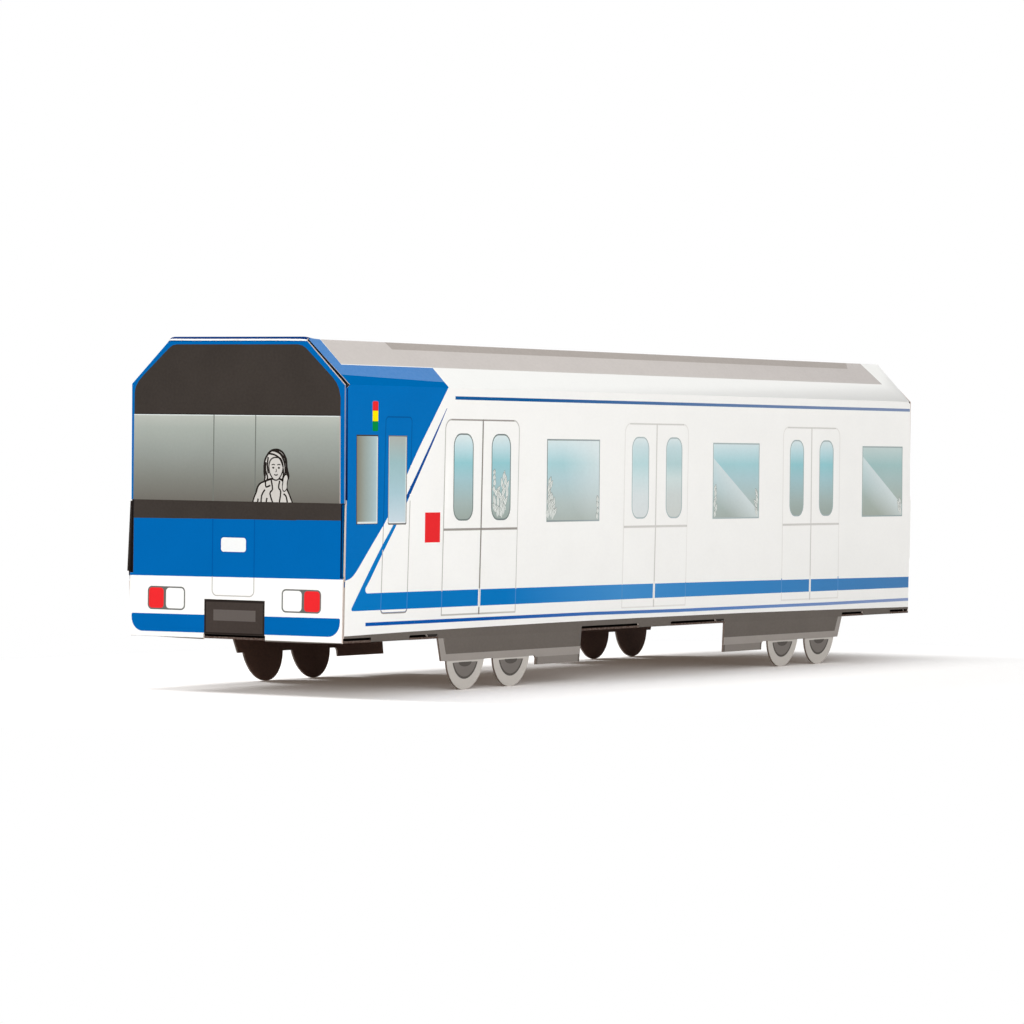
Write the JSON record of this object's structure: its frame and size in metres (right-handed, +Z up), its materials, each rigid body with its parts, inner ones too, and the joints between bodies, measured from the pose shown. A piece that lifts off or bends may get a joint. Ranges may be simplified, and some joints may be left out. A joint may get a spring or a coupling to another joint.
{
  "type": "folded cardboard metro car toy",
  "caption": "Folded board model of a metro car with bevelled roof edges, flat cut-out bogies and a tucked lid hinged on the roof at each end.",
  "frame": {"origin": "middle of the car on the surface that the wheel outlines stand on", "axes": "+Z up, cab end towards -Y, +X the car's left side, length along Y"},
  "size_m": [0.06, 0.2866, 0.082],
  "materials": {
    "printed_white_board": "satin print",
    "printed_light_grey_board": "satin print",
    "printed_blue_board": "satin print",
    "printed_dark_grey_board": "satin print",
    "plain_board": "matt"
  },
  "bodies": {
    "body": {"roof_panel": "printed_light_grey_board", "floor_panel": "printed_dark_grey_board", "left_wall_panel": "printed_white_board", "right_wall_panel": "printed_white_board", "left_bevel_panel": "printed_light_grey_board", "right_bevel_panel": "printed_light_grey_board", "left_front_bogie_flap": "printed_dark_grey_board", "left_rear_bogie_flap": "printed_dark_grey_board", "right_front_bogie_flap": "printed_dark_grey_board", "right_rear_bogie_flap": "printed_dark_grey_board", "left_front_dust_flap": "plain_board", "right_front_dust_flap": "plain_board", "left_rear_dust_flap": "plain_board", "right_rear_dust_flap": "plain_board", "front_floor_dust_flap": "plain_board", "rear_floor_dust_flap": "plain_board"},
    "front_lid": {"front_lid": "printed_blue_board", "front_lid_tongue": "plain_board", "left_front_lid_tab": "plain_board", "right_front_lid_tab": "plain_board"},
    "rear_lid": {"rear_lid": "printed_white_board", "rear_lid_tongue": "plain_board", "left_rear_lid_tab": "plain_board", "right_rear_lid_tab": "plain_board"}
  },
  "joints": [
    {"name": "front_lid_hinge", "type": "hinge", "parent": "body", "child": "front_lid", "pos_m": [0, -0.14305, 0.08175], "axis": [-1, 0, 0], "range_deg": [0, 120]},
    {"name": "rear_lid_hinge", "type": "hinge", "parent": "body", "child": "rear_lid", "pos_m": [0, 0.14305, 0.08175], "axis": [1, 0, 0], "range_deg": [0, 120]}
  ]
}
